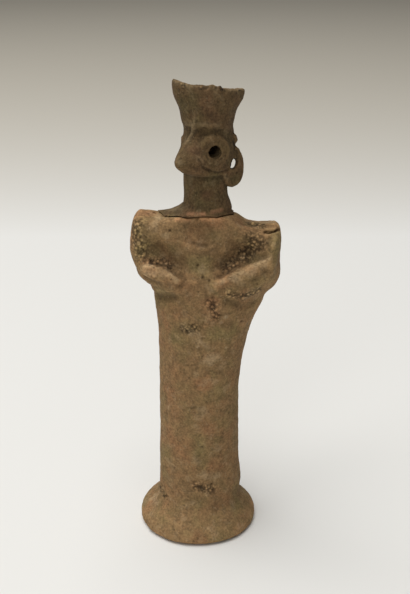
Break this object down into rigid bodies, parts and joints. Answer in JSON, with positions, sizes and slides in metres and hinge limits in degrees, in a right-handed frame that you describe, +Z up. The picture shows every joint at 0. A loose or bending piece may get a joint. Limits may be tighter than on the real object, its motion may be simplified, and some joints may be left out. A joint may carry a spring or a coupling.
{
  "type": "terracotta votive figurine",
  "caption": "Handmade terracotta pillar figurine on a flared foot, with short folded arms and a pinched bird-like head under a flaring headdress.",
  "frame": {"origin": "on the underside of the foot, under the axis of the column, a little behind the middle of the foot", "axes": "+Z up along the column; the chest faces -Y; the figure's left arm is towards +X"},
  "size_m": [0.0567, 0.045, 0.1823],
  "materials": {
    "body_clay": "fired, unglazed, gritty and matt",
    "head_clay": "fired, unglazed, darker and matt"
  },
  "bodies": {
    "root": {"body": "body_clay", "head_and_neck": "head_clay"}
  },
  "joints": []
}
